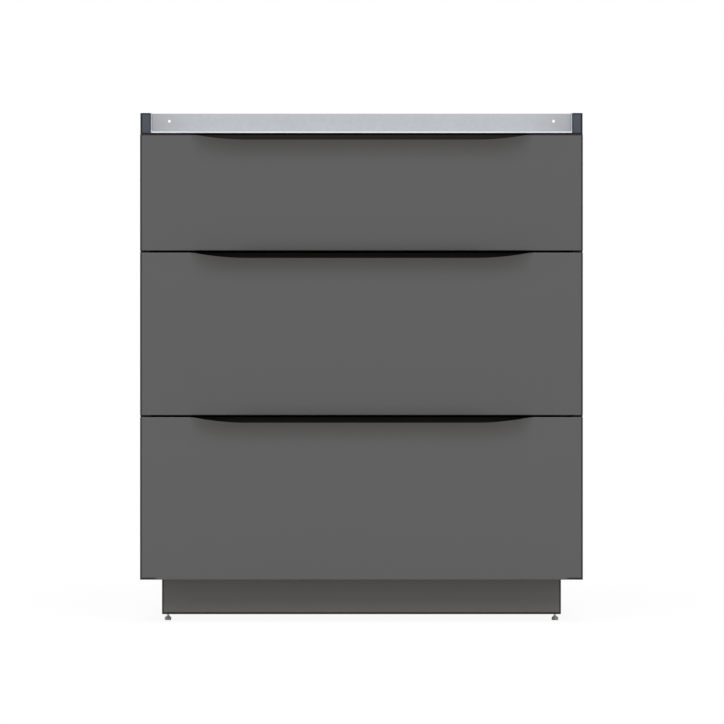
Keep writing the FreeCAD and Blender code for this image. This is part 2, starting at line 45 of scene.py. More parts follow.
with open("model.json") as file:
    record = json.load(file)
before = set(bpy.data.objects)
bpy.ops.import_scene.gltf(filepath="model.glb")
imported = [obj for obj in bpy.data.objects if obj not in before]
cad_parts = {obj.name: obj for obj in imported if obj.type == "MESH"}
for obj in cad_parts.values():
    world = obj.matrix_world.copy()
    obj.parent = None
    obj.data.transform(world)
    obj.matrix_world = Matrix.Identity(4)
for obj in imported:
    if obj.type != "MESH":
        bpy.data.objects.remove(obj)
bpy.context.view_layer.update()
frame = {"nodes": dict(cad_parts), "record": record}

SLOTS = {row["node"]: row["material_slot"] for row in frame["record"]["subparts"]}
BODIES = {
    node: body for body, nodes in frame["record"]["behaviour"]["bodies"].items() for node in nodes
}
DRAWERS = ("top", "middle", "bottom")
FEET = ("front_left", "front_right", "rear_left", "rear_right")
MM = 0.001
GOLDEN_TURN = math.radians(137.5)
TOUCH = 0.01 * MM            # places nearer than this are the same
WELD = 0.004 * MM            # joins the corners that a CAD node's triangles share
BAND = 4.1 * MM              # width of the painted shade bands along the foil's edges
RAIL_SKIRT = 7.5 * MM        # web below the pressed rail's lower flange
# near-black colour of the painted shade along edges and in gaps
EDGE_SHADE = (0.004, 0.004, 0.004)
WHITE = (1.0, 1.0, 1.0)
SENSOR = 36.0                # the camera's sensor width in millimetres


# ---------------------------------------------------------------- settings
def length(name, description, default):
    return bpy.props.FloatProperty(
        name=name, description=description, default=default, min=0.0, unit="LENGTH", precision=5
    )


def colour(name, description, default):
    return bpy.props.FloatVectorProperty(
        name=name, description=description, default=default, size=3, min=0.0, max=1.0, subtype="COLOR"
    )


class CabinetFrontSettings(bpy.types.PropertyGroup):
    """Sizes of a drawer front's rounded edges and finger lip."""

    margin: length("Lip margin", "From the front's end to the lip's end", 85 * MM)
    end_run: length("End run", "Length of each S-shaped end of the lip", 100 * MM)
    lead_radius: length("Lead radius", "Radius where the S-shaped end begins", 53 * MM)
    dip: length("Dip", "How far the lip lies below the front's top edge", 9.5 * MM)
    reach: length("Reach", "How far the lip stands out of the face", 12 * MM)
    flare: length("Flare", "Height over which the face curves out to the lip", 45 * MM)
    wall: length("Lip wall", "Thickness of the lip", 5 * MM)
    groove: length("Groove", "Depth of the finger groove below the lip", 28 * MM)
    back_wall: length("Back wall", "What is left of the front behind the groove", 6 * MM)
    edge_radius: length("Edge radius", "Rounding of the outer edges", 1.5 * MM)
    fine_radius: length("Fine radius", "Rounding of the lip and groove edges", 0.35 * MM)


class CabinetEdgeSettings(bpy.types.PropertyGroup):
    """Roundings of boards, pressed steel and small parts."""

    board: length("Board edges", "Rounding of a board's long edges", 1.1 * MM)
    block: length("Block edges", "Rounding of the wooden blocks", 1.2 * MM)
    fold: length("Rail folds", "Outer rounding of the pressed rail's folds", 1.4 * MM)
    steel: length("Steel edges", "Rounding of the rail's and runners' other edges", 0.3 * MM)
    board_edge: length("Shortest board edge", "Shorter edges stay sharp", 12 * MM)
    steel_edge: length("Shortest steel edge", "Shorter edges stay sharp", 20 * MM)


class CabinetFittingSettings(bpy.types.PropertyGroup):
    """Sizes of the screws, cams, bumpers and feet."""

    shank: length("Screw shank", "Radius of a screw's shank", 1.9 * MM)
    head: length("Screw head", "Radius of a screw's head", 3.15 * MM)
    head_height: length("Head height", "Height of a screw's head", 1.2 * MM)
    recess: length("Recess", "Length of a screw's cross recess", 3.6 * MM)
    cam_recess: length("Cam recess", "Length of a cam's cross recess", 6.5 * MM)
    thread_pitch: length("Thread pitch", "Pitch of the foot's thread", 0.8 * MM)
    thread_core: length("Thread core", "Radius under the foot's thread", 2.1 * MM)
    collar: length("Collar", "Radius of the foot's collar", 3.0 * MM)
    collar_height: length("Collar height", "Height of the foot's collar", 1.6 * MM)
    spigot: length("Spigot", "Radius of the stud's end inside the pad", 1.8 * MM)


class CabinetFinishSettings(bpy.types.PropertyGroup):
    """Colours of the finishes."""

    front: colour("Front foil", "Matt foil of the drawer fronts", (0.1074, 0.1075, 0.1093))
    # Painted shade: the finger grooves are dark as shaded recesses, and this colour stands in for that
    # shade.
    groove: colour("Groove lining", "Dark lining of the finger grooves", (0.022, 0.021, 0.020))
    body: colour("Body", "Slate melamine of the body", (0.064, 0.072, 0.089))
    # Lighter than the front foil: a guessed colour of the plinth's own, raised to make up for the shade
    # under the overhanging drawers, so partly painted light.
    plinth: colour("Plinth foil", "Matt foil of the plinth", (0.205, 0.2035, 0.2005))
    box: colour("Drawer board", "Grey melamine of the drawer boxes", (0.30, 0.31, 0.32))
    rail: colour("Galvanised steel", "Zinc coat of the pressed rail", (0.585, 0.603, 0.632))


class CabinetStageSettings(bpy.types.PropertyGroup):
    """Camera and light."""

    distance: length("Camera distance", "Camera to the drawer fronts", 6.5)
    height: length("Camera height", "Camera above the floor", 0.4493)
    aside: length("Camera aside", "Camera to the right of the middle", 0.0009)
    frame_width: length("Frame width", "Width of the picture at the drawer fronts", 1.24302)
    key: bpy.props.FloatProperty(name="Key light", description="Strength of the wide sun", default=2.90)
    key_height: bpy.props.FloatProperty(
        name="Key height", description="Sun above the horizon", default=math.radians(55), subtype="ANGLE"
    )
    key_width: bpy.props.FloatProperty(
        name="Key width", description="Angle that the sun fills", default=math.radians(50), subtype="ANGLE"
    )
    fill: colour("Fill light", "Light of the surroundings", (0.300, 0.306, 0.312))
    bounce: colour("Floor", "How much light the floor throws back", (0.64, 0.61, 0.565))
    floor_glow: bpy.props.FloatProperty(
        name="Floor glow", description="Share of the floor's white that shadows leave", default=0.93
    )


# ---------------------------------------------------------------- shader building
class Value:
    """A node's output. Arithmetic on it adds Math nodes."""

    def __init__(self, paint, socket):
        self.paint = paint
        self.socket = socket

    def _math(self, operation, *terms):
        return self.paint.node("ShaderNodeMath", {"operation": operation}, dict(enumerate(terms)))

    def __add__(self, other):
        return self._math("ADD", self, other)

    def __radd__(self, other):
        return self._math("ADD", other, self)

    def __sub__(self, other):
        return self._math("SUBTRACT", self, other)

    def __rsub__(self, other):
        return self._math("SUBTRACT", other, self)

    def __mul__(self, other):
        return self._math("MULTIPLY", self, other)

    def __rmul__(self, other):
        return self._math("MULTIPLY", other, self)

    def __gt__(self, other):
        return self._math("GREATER_THAN", self, other)

    def __lt__(self, other):
        return self._math("LESS_THAN", self, other)

    def __abs__(self):
        return self._math("ABSOLUTE", self)

    def larger(self, other):
        return self._math("MAXIMUM", self, other)

    def band(self, low, high):
        """0 below low, 1 above high, smooth between."""
        return self.paint.node(
            "ShaderNodeMapRange",
            {"interpolation_type": "SMOOTHSTEP"},
            {"Value": self, "From Min": low, "From Max": high},
        )


class Paint:
    """One material and the nodes that give it its detail."""

    def __init__(self, name, **constants):
        material = bpy.data.materials.new(name)
        material.use_nodes = True
        self.tree = material.node_tree
        self.shader = self.tree.nodes["Principled BSDF"]
        for socket, value in constants.items():
            self.shader.inputs[socket.replace("_", " ")].default_value = value

    def feed(self, socket, value):
        if isinstance(value, Value):
            self.tree.links.new(value.socket, socket)
        elif socket.type == "RGBA" and len(value) == 3:
            socket.default_value = (*value, 1.0)
        else:
            socket.default_value = value

    def node(self, kind, settings=None, inputs=None, output=0):
        """Adds a node: its settings first, then the values or links of its sockets."""
        made = self.tree.nodes.new(kind)
        for key, value in (settings or {}).items():
            setattr(made, key, value)
        for key, value in (inputs or {}).items():
            self.feed(made.inputs[key], value)
        return Value(self, made.outputs[output])

    def place(self, stretch=(1.0, 1.0, 1.0)):
        """Object coordinates in metres, stretched along the axes."""
        spot = self.node("ShaderNodeTexCoord", output="Object")
        if tuple(stretch) == (1.0, 1.0, 1.0):
            return spot
        return self.node("ShaderNodeMapping", {}, {"Vector": spot, "Scale": stretch})

    def axes(self, vector):
        """The three parts of a vector."""
        split = self.node("ShaderNodeSeparateXYZ", {}, {0: vector})
        return [Value(self, output) for output in split.socket.node.outputs]

    def facing(self):
        """The three parts of the surface normal."""
        return self.axes(self.node("ShaderNodeTexCoord", output="Normal"))

    def slant(self):
        """1 on the roundings between level and upright faces, 0 on those faces."""
        aside, ahead, up = self.facing()
        return (1.0 - abs(aside).larger(abs(ahead)).larger(abs(up))).band(0.03, 0.15)

    def noise(self, size, detail=2.0, rough=0.5, stretch=(1.0, 1.0, 1.0), twist=0.0):
        """Noise whose blobs are about a given size across, 0 to 1."""
        inputs = {
            "Vector": self.place(stretch),
            "Scale": 1.0 / size,
            "Detail": detail,
            "Roughness": rough,
            "Distortion": twist,
        }
        return self.node("ShaderNodeTexNoise", {}, inputs)

    def cells(self, size, stretch=(1.0, 1.0, 1.0)):
        """Cells about a given size across, each with a colour of its own."""
        inputs = {"Vector": self.place(stretch), "Scale": 1.0 / size}
        return self.node("ShaderNodeTexVoronoi", {}, inputs, "Color")

    def mix(self, share, first, second):
        """A blend of two colours."""
        made = self.node("ShaderNodeMix", {"data_type": "RGBA"}, {0: share})
        self.feed(made.socket.node.inputs[6], first)
        self.feed(made.socket.node.inputs[7], second)
        return Value(self, made.socket.node.outputs[2])

    def finish(self, tone, rough, height, distance, strength=0.6):
        """Feeds the shader its colour, its roughness and a bump of a height from 0 to 1."""
        relief = {"Height": height, "Distance": distance, "Strength": strength}
        fed = {"Base Color": tone, "Roughness": rough, "Normal": self.node("ShaderNodeBump", {}, relief)}
        for socket, value in fed.items():
            self.feed(self.shader.inputs[socket], value)

    def tones(self, share, base, low, high):
        """A blend from a darker to a lighter tone of one colour."""
        return self.mix(share, shade(base, low), shade(base, high))


def shade(base, factor):
    """A colour made lighter or darker."""
    return tuple(min(1.0, part * factor) for part in base)


# ---------------------------------------------------------------- finishes
def foil(name, base, x_end, z_low, x_low, z_high, shaded_by_lip):
    """Matt foil on board: cloudiness, a fine leathery emboss, rubbed patches and painted shade along the
    edges.

    The painted shade shows at the ends, x_end from the middle, below z_low further out than x_low, and
    above
    z_high: it stands for the shade of the rounded edges and for the shadow in the gap under the rail. Above
    the finger lips a painted shadow of the lip below darkens the face, by the attribute that tells the
    height above the gap.
    """
    paint = Paint(name, IOR=1.45, Specular_IOR_Level=0.25)
    cloud = paint.noise(0.18, 3.0, 0.55)
    grain = paint.noise(0.0009, 2.0, 0.6)
    rubbed = paint.noise(0.05, 4.0, 0.6, stretch=(0.4, 1.0, 1.0)).band(0.55, 0.75)
    aside, ahead, _ = paint.facing()
    across, _, height = paint.axes(paint.place())
    frontal = (0.0 - ahead).band(0.3, 0.6)
    # Painted shade: the end and low bands darken the face next to its rounded ends and bottom edge, and the
    # high band paints the shadow of the gap under the rail.
    end = abs(across).band(x_end - BAND, x_end - 0.4 * BAND)
    low = (z_low + 1.2 * BAND - height).band(0.0, 0.6 * BAND) * abs(across).band(x_low, x_low + 3 * BAND)
    high = height.band(z_high - 0.6 * MM, z_high + 0.9 * MM) * (0.0 - ahead).band(0.05, 0.25)
    tone = paint.tones(cloud, base, 0.985, 1.015)
    tone = paint.mix(grain * 0.5, tone, shade(base, 1.04))
    if shaded_by_lip:
        # Painted shadow: above each gap the face darkens towards the finger lip of the front below, only in
        # the middle where that lip stands out.
        rise = paint.node("ShaderNodeAttribute", {"attribute_name": "above_gap"}, output="Fac")
        lip_shadow = (1.0 - rise.band(-0.01, 0.024)) * (1.0 - abs(across).band(0.17, 0.25)) * rise.band(-1, 0)
        tone = paint.mix(lip_shadow * 0.35, tone, shade(base, 0.3))
    # Painted shade on the roundings towards the sides, and a lighter painted shade on the side faces.
    rounding = abs(aside).band(0.35, 0.7) * (0.8 - abs(aside).band(0.92, 0.99) * 0.6)
    # All of these marks are painted shade, mixed towards the near-black EDGE_SHADE.
    dark = (end.larger(low) * frontal).larger(high).larger(rounding)
    tone = paint.mix(dark * 0.85, tone, EDGE_SHADE)
    paint.finish(tone, 0.50 + grain * 0.08 - rubbed * 0.03, grain, 0.00004, 0.4)


def painted_shade(name, base):
    """Dark matt colour painted into a finger groove as the shade of its recess, dusty along its floor."""
    paint = Paint(name, IOR=1.4, Specular_IOR_Level=0.15)
    dust = paint.noise(0.02, 4.0, 0.6, stretch=(0.3, 1.0, 1.0))
    grain = paint.noise(0.0008, 2.0, 0.6)
    tone = paint.tones(dust, base, 0.85, 1.2)
    paint.finish(tone, 0.7 + grain * 0.1, grain, 0.00003, 0.5)


def chipboard_core(paint):
    """Pressed wood chips, as a raw sawn edge shows them."""
    chips = paint.cells(0.0016, (0.5, 1.0, 1.0))
    return paint.mix(
        paint.noise(0.0012, 3.0, 0.7),
        (0.36, 0.26, 0.16),
        paint.mix(paint.axes(chips)[0], (0.66, 0.51, 0.35), (0.50, 0.37, 0.24)),
    )


def painted_front_edge_shade(paint, low, high, z_gap):
    """Mask of painted shade: 1 along the outer, upper and inner edge of the front end of an upright board,
    and a painted shadow at the gap under the rail.
    """
    across, _, height = paint.axes(paint.place())
    frontal = (0.0 - paint.facing()[1]).band(0.3, 0.6)
    outer = abs(across).band(high.x - BAND, high.x - 2.3 * MM)
    upper = height.band(high.z - 3.4 * MM, high.z - 1.7 * MM)
    inner = 1.0 - abs(across).band(low.x + 0.8 * MM, low.x + 2.4 * MM)
    gap = 1.0 - abs(height - z_gap).band(2.0 * MM, 3.2 * MM)
    return outer.larger(upper).larger(inner).larger(gap) * frontal * (abs(across) > low.x - 0.1 * MM)


def melamine(name, base, body=False):
    """Melamine on chipboard: a pearl emboss, painted shade on the rounded edges, on the body painted shade
    along the side panels' front ends and in the gap under the rail, and on the body's rear the raw core.
    """
    paint = Paint(name, IOR=1.48, Specular_IOR_Level=0.25)
    cloud = paint.noise(0.25, 3.0, 0.55)
    pearl = paint.noise(0.0011, 1.0, 0.4)
    tone = paint.tones(cloud, base, 0.97, 1.03)
    tone = paint.mix(pearl * 0.4, tone, shade(base, 1.06))
    # Painted shade: every rounded edge is darkened towards near black.
    tone = paint.mix(paint.slant() * 0.8, tone, shade(base, 0.1))
    rough = 0.42 + pearl * 0.12
    height = pearl
    if body:
        z_gap = (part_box("front_top_rail")[0].z + RAIL_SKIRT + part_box("drawer_front_top")[1].z) / 2
        # Painted shade along the side panels' front ends and a painted shadow in the gap, mixed towards
        # near black.
        outline = painted_front_edge_shade(paint, *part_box("side_panel_right"), z_gap)
        tone = paint.mix(outline * 0.9, tone, EDGE_SHADE)
        raw = paint.facing()[1] > 0.9
        tone = paint.mix(raw, tone, chipboard_core(paint))
        rough = rough + raw * 0.35
        height = pearl + raw * paint.noise(0.0012, 3.0, 0.7) * 4.0
    paint.finish(tone, rough, height, 0.00005)


def hardboard(name, base):
    """Lacquered hardboard: smooth and cloudy, with a faint fibre."""
    paint = Paint(name, IOR=1.46)
    cloud = paint.noise(0.12, 4.0, 0.6)
    fibre = paint.noise(0.0015, 3.0, 0.7, stretch=(0.25, 1.0, 1.0))
    tone = paint.tones(cloud, base, 0.93, 1.06)
    tone = paint.mix(fibre * 0.35, tone, shade(base, 0.82))
    paint.finish(tone, 0.5 + fibre * 0.15, fibre, 0.00004)


def timber(name, light, dark, along):
    """Bare wood with its growth rings running along one axis."""
    paint = Paint(name, IOR=1.45)
    stretch = [18.0, 18.0, 18.0]
    stretch[along] = 1.2
    rings = paint.noise(0.09, 3.0, 0.5, stretch=stretch, twist=0.6)
    pores = paint.noise(0.012, 2.0, 0.6, stretch=stretch)
    tone = paint.mix(rings.band(0.35, 0.65), light, dark)
    tone = paint.mix(pores.band(0.6, 0.8) * 0.4, tone, shade(dark, 0.6))
    paint.finish(tone, 0.62 + pores * 0.15, rings + pores * 0.5, 0.0001)


def galvanised(name, base):
    """Satin zinc coat with faint frost-like spangle and rolling lines, painted shade towards the ends, a
    painted highlight on the front lip and painted shade below the lower flange.
    """
    paint = Paint(name, Metallic=1.0)
    spangle = paint.axes(paint.cells(0.007))[0]
    lines = paint.noise(0.0006, 2.0, 0.5, stretch=(0.02, 1.0, 1.0))
    stain = paint.noise(0.06, 4.0, 0.6)
    tone = paint.tones(spangle, base, 0.96, 1.03)
    tone = paint.mix(stain.band(0.5, 0.8) * 0.35, tone, shade(base, 0.88))
    across, depth, height = paint.axes(paint.place())
    low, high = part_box("front_top_rail")
    # Painted shade: the rail darkens towards its ends, where the side panels shade it.
    tone = paint.mix(abs(across).band(0.27, 0.39) * 0.32, tone, shade(base, 0.4))
    # Painted highlight: the front lip is made lighter, fully on its lower part, as it catches more light
    # than the web.
    lip = (low.y + 2 * MM - depth).band(0.0, 1 * MM) * ((height < low.z + 14 * MM) * 0.6 + 0.4)
    tone = paint.mix(lip, tone, shade(base, 1.58))
    # Painted shade: the web below the lower flange and the lip's lowest edge are near black, as the gap
    # above the top front lies in shadow.
    skirt_shade = (high.z - 34.25 * MM - height).band(0.0, 0.3 * MM)
    tone = paint.mix(skirt_shade, tone, shade(base, 0.03))
    paint.finish(tone, 0.45 + spangle * 0.06 + lines * 0.06, lines, 0.00002, 0.5)


def bright_zinc(name, base, rough=0.28, along=1):
    """Rolled or turned steel with a bright zinc coat, drawn along one axis."""
    paint = Paint(name, Metallic=1.0)
    stretch = [1.0, 1.0, 1.0]
    stretch[along] = 0.02
    drawn = paint.noise(0.0005, 2.0, 0.5, stretch=stretch)
    stain = paint.noise(0.02, 4.0, 0.6)
    tone = paint.tones(stain, base, 0.90, 1.04)
    paint.finish(tone, rough + drawn * 0.12 + stain * 0.08, drawn, 0.00002, 0.5)


def as_cast(name, base):
    """Die-cast zinc: dull and slightly pitted."""
    paint = Paint(name, Metallic=1.0)
    pits = paint.noise(0.0008, 3.0, 0.6)
    tone = paint.tones(pits, base, 0.85, 1.05)
    paint.finish(tone, 0.42 + pits * 0.15, pits, 0.00008)


def moulded(name, base, rough=0.5):
    """Moulded plastic or rubber: an even colour with a fine spark-eroded grain."""
    paint = Paint(name, IOR=1.5)
    grain = paint.noise(0.0004, 2.0, 0.6)
    wear = paint.noise(0.004, 4.0, 0.6)
    tone = paint.tones(wear, base, 0.93, 1.06)
    paint.finish(tone, rough + grain * 0.15, grain, 0.00003)


def finishes():
    """Makes the finish of each of the record's material slots, and the dark painted shade of the grooves.
    """
    look = bpy.context.scene.cabinet_finish
    front_end, z_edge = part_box("drawer_front_top")[1].xz
    front_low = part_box("drawer_front_bottom")[0].z
    plinth_low, plinth_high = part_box("plinth_front")
    x_plinth = plinth_high.x
    foil("front_foil", look.front, front_end, front_low, x_plinth + MM, z_edge - 1.7 * MM, True)
    foil("plinth_foil", look.plinth, x_plinth, plinth_low.z, -1.0, 1.0, False)
    painted_shade("groove_painted_shade", look.groove)
    melamine("body_melamine", look.body, body=True)
    melamine("drawer_board", look.box)
    hardboard("back_board", look.body)
    hardboard("drawer_base", look.box)
    timber("softwood", (0.66, 0.48, 0.30), (0.48, 0.31, 0.17), 2)
    timber("beech", (0.66, 0.47, 0.30), (0.52, 0.34, 0.20), 0)
    galvanised("galvanised_steel", look.rail)
    bright_zinc("zinc_steel", (0.62, 0.63, 0.65))
    bright_zinc("screw_steel", (0.55, 0.55, 0.56), 0.32)
    bright_zinc("stud_steel", (0.72, 0.72, 0.73), 0.35, 2)
    as_cast("cast_zinc", (0.50, 0.50, 0.51))
    moulded("bumper_rubber", (0.50, 0.50, 0.50), 0.35)
    moulded("foot_nylon", (0.85, 0.85, 0.84))


# ---------------------------------------------------------------- modelling helpers
def clear_selection():
    if bpy.context.object and bpy.context.object.mode != "OBJECT":
        bpy.ops.object.mode_set(mode="OBJECT")
    bpy.ops.object.select_all(action="DESELECT")


def activate(*pieces):
    """Selects these pieces alone, the first of them active."""
    clear_selection()
    for piece in pieces:
        piece.select_set(True)
    bpy.context.view_layer.objects.active = pieces[0]


def edit(piece, select=True):
    """Opens a piece in edit mode, with all of it selected."""
    activate(piece)
    bpy.ops.object.mode_set(mode="EDIT")
    if select:
        bpy.ops.mesh.select_all(action="SELECT")


def close_edit():
    """Leaves edit mode."""
    bpy.ops.object.mode_set(mode="OBJECT")


def face_outwards():
    """In edit mode, turns every face outwards."""
    bpy.ops.mesh.select_all(action="SELECT")
    bpy.ops.mesh.normals_make_consistent(inside=False)


def settle(piece, name):
    """Names a piece and moves its place and turn into its mesh."""
    activate(piece)
    bpy.ops.object.transform_apply(location=True, rotation=True, scale=True)
    piece.name = name
    piece.data.name = name


def pick(piece, test, kind="VERT"):
    """In edit mode, selects the vertices, edges or faces that pass a test."""
    bpy.ops.mesh.select_mode(type=kind)
    bpy.ops.mesh.select_all(action="DESELECT")
    mesh = bmesh.from_edit_mesh(piece.data)
    parts = {"VERT": mesh.verts, "EDGE": mesh.edges, "FACE": mesh.faces}[kind]
    for part in parts:
        if test(part):
            part.select = True
    mesh.select_flush_mode()
    bmesh.update_edit_mesh(piece.data)


def modify(piece, kind, **settings):
    """Adds a modifier and applies it."""
    activate(piece)
    made = piece.modifiers.new(kind.lower(), kind)
    for key, value in settings.items():
        setattr(made, key, value)
    bpy.ops.object.modifier_apply(modifier=made.name)


def smooth(piece, angle=35):
    activate(piece)
    bpy.ops.object.shade_smooth_by_angle(angle=math.radians(angle))


def sweep(name, stations):
    """Pulls a section along X. Each station is a place and the section's corners there."""
    (x_start, corners), *rest = stations
    bpy.ops.mesh.primitive_circle_add(
        vertices=len(corners), radius=0.01, fill_type="NGON", rotation=(0, math.pi / 2, 0)
    )
    piece = bpy.context.object
    settle(piece, name)
    bpy.ops.object.mode_set(mode="EDIT")
    bpy.ops.mesh.select_mode(type="VERT")
    mesh = bmesh.from_edit_mesh(piece.data)
    mesh.verts.ensure_lookup_table()
    ring = list(range(len(corners)))
    place_ring(piece, ring, [(x_start, y, z) for y, z in corners])
    for x, corners in rest:
        bpy.ops.mesh.select_all(action="DESELECT")
        mesh = bmesh.from_edit_mesh(piece.data)
        mesh.verts.ensure_lookup_table()
        before = [mesh.verts[i].co.copy() for i in ring]
        for face in mesh.faces:
            if {v.index for v in face.verts} == set(ring):
                face.select = True
        bmesh.update_edit_mesh(piece.data)
        bpy.ops.mesh.extrude_region_move()
        mesh = bmesh.from_edit_mesh(piece.data)
        mesh.verts.index_update()
        new = [v for v in mesh.verts if v.select]
        ring = [min(new, key=lambda v: (v.co - spot).length_squared).index for spot in before]
        place_ring(piece, ring, [(x, y, z) for y, z in corners])
    return piece


def place_ring(piece, ring, places):
    """In edit mode, moves vertices to their places, all of one offset together."""
    mesh = bmesh.from_edit_mesh(piece.data)
    mesh.verts.ensure_lookup_table()
    groups = {}
    for index, place in zip(ring, places):
        offset = Vector(place) - mesh.verts[index].co
        if offset.length > 1e-7:
            groups.setdefault(tuple(round(part, 7) for part in offset), []).append(index)
    for offset, members in groups.items():
        bpy.ops.mesh.select_all(action="DESELECT")
        mesh = bmesh.from_edit_mesh(piece.data)
        mesh.verts.ensure_lookup_table()
        for index in members:
            mesh.verts[index].select = True
        bmesh.update_edit_mesh(piece.data)
        bpy.ops.transform.translate(value=offset)


def twin_of(source, name):
    """A copy with a mesh of its own."""
    twin = bpy.data.objects.new(name, source.data.copy())
    twin.data.name = name
    bpy.context.collection.objects.link(twin)
    return twin


def merged(node, name):
    """A copy of a CAD node with its triangles joined into whole flat faces."""
    piece = twin_of(frame["nodes"][node], name)
    activate(piece)
    bpy.ops.mesh.customdata_custom_splitnormals_clear()
    edit(piece)
    bpy.ops.mesh.remove_doubles(threshold=WELD)
    bpy.ops.mesh.dissolve_limited(angle_limit=math.radians(0.3))
    close_edit()
    return piece


def round_edges(piece, radius, shortest, test=None, segments=2):
    """Rounds the sharp edges that are long enough and pass a test."""
    edit(piece, select=False)

    def wanted(edge):
        sharp = edge.is_manifold and edge.calc_face_angle() > math.radians(40)
        return sharp and edge.calc_length() > shortest and (test is None or test(edge))

    pick(piece, wanted, "EDGE")
    bpy.ops.mesh.bevel(offset=radius, offset_type="OFFSET", segments=segments, affect="EDGES")
    close_edit()


def turned(name, profile, sides=32):
    """A round piece on the Z axis, from a list of radius and height along its outline."""
    (radius, z), *rest = profile
    clear_selection()
    bpy.ops.mesh.primitive_circle_add(
        vertices=sides, radius=radius, fill_type="NGON", location=(0, 0, z), rotation=(math.pi, 0, 0)
    )
    piece = bpy.context.object
    settle(piece, name)
    bpy.ops.object.mode_set(mode="EDIT")
    bpy.ops.mesh.select_mode(type="FACE")
    bpy.ops.mesh.select_all(action="SELECT")
    for next_radius, next_z in rest:
        bpy.ops.mesh.extrude_region_move(TRANSFORM_OT_translate={"value": (0, 0, next_z - z)})
        growth = next_radius / radius
        bpy.ops.transform.resize(value=(growth, growth, 1.0), center_override=(0, 0, next_z))
        radius, z = next_radius, next_z
    face_outwards()
    close_edit()
    return piece


def cut_cross(piece, length, width, depth):
    """Sinks a tapered cross recess into the top of a piece, whose top is at height 0."""
    for turn in (0.0, math.pi / 2):
        bpy.ops.mesh.primitive_cube_add(size=1.0, location=(0, 0, 0), rotation=(0, 0, turn))
        cutter = bpy.context.object
        cutter.scale = (length, width, 2 * depth)
        settle(cutter, "cutter")
        bpy.ops.object.mode_set(mode="EDIT")
        pick(cutter, lambda vertex: vertex.co.z < 0)
        bpy.ops.transform.resize(value=(0.45, 0.45, 1.0), center_override=(0, 0, -depth))
        close_edit()
        modify(piece, "BOOLEAN", object=cutter, operation="DIFFERENCE", solver="EXACT")
        bpy.data.objects.remove(cutter)


def span(points):
    """Lowest and highest corner of a set of points."""
    low = Vector([min(point[k] for point in points) for k in range(3)])
    high = Vector([max(point[k] for point in points) for k in range(3)])
    return low, high


def solids(node):
    """The points of each separate solid in a CAD node."""
    mesh = bmesh.new()
    mesh.from_mesh(frame["nodes"][node].data)
    bmesh.ops.remove_doubles(mesh, verts=mesh.verts, dist=WELD)
    left = set(mesh.verts)
    found = []
    while left:
        queue = [left.pop()]
        points = []
        while queue:
            vertex = queue.pop()
            points.append(vertex.co.copy())
            for edge in vertex.link_edges:
                other = edge.other_vert(vertex)
                if other in left:
                    left.remove(other)
                    queue.append(other)
        found.append(points)
    mesh.free()
    return sorted(found, key=lambda points: tuple(round(part, 4) for part in span(points)[0]))


def screw_place(points):
    """A screw's head centre, the way it points and its length."""
    low, high = span(points)
    size = high - low
    along = max(range(3), key=lambda k: size[k])
    middle = (low + high) / 2

    def spread(end):
        offsets = [point - middle for point in points if abs(point[along] - end) < 0.05 * MM]
        for offset in offsets:
            offset[along] = 0.0
        return max(offset.length for offset in offsets)

    head_low = spread(low[along]) > spread(high[along])
    spot = middle.copy()
    spot[along] = low[along] if head_low else high[along]
    way = Vector((0, 0, 0))
    way[along] = 1.0 if head_low else -1.0
    return spot, way, size[along]


def disc_place(points, way_up=False):
    """The centre of a disc's low or high face and the way into the disc from there."""
    low, high = span(points)
    size = high - low
    along = min(range(3), key=lambda k: size[k])
    spot = (low + high) / 2
    spot[along] = high[along] if way_up else low[along]
    way = Vector((0, 0, 0))
    way[along] = -1.0 if way_up else 1.0
    return spot, way


def disc_size(points):
    """A disc's radius and height."""
    low, high = span(points)
    return max(high - low) / 2, min(high - low)


def put_copies(name, places):
    """Copies of masters that point down, each turned to its way and moved to its spot, in one piece."""
    copies = []
    for count, (master, spot, way) in enumerate(places):
        twin = twin_of(master, name)
        twin.rotation_mode = "QUATERNION"
        spin = Quaternion((0, 0, 1), count * GOLDEN_TURN)
        twin.rotation_quaternion = Vector((0, 0, -1)).rotation_difference(way) @ spin
        twin.location = spot
        copies.append(twin)
    activate(*copies)
    bpy.ops.object.transform_apply(location=True, rotation=True, scale=True)
    if len(copies) > 1:
        bpy.ops.object.join()
    piece = bpy.context.object
    piece.name = piece.data.name = name
    smooth(piece, 30)
    return piece


def tie(piece, body, slot, *nodes):
    """Ties a piece to the frame: its body and the nodes that it stands for. The slot is not used."""
    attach(piece, body)
    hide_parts(*nodes)


def coat(piece, slot):
    """Gives a piece the finish of one material slot and no other."""
    piece.data.materials.clear()
    piece.data.materials.append(bpy.data.materials[slot])


def finish_piece(piece, node):
    """Gives a piece the finish and the body of the CAD node that it stands for."""
    coat(piece, SLOTS[node])
    tie(piece, BODIES[node], SLOTS[node], node)


def dress(node, name, radius, shortest):
    """Puts a copy of a CAD node with rounded edges in its place."""
    piece = merged(node, name)
    round_edges(piece, radius, shortest)
    smooth(piece)
    finish_piece(piece, node)


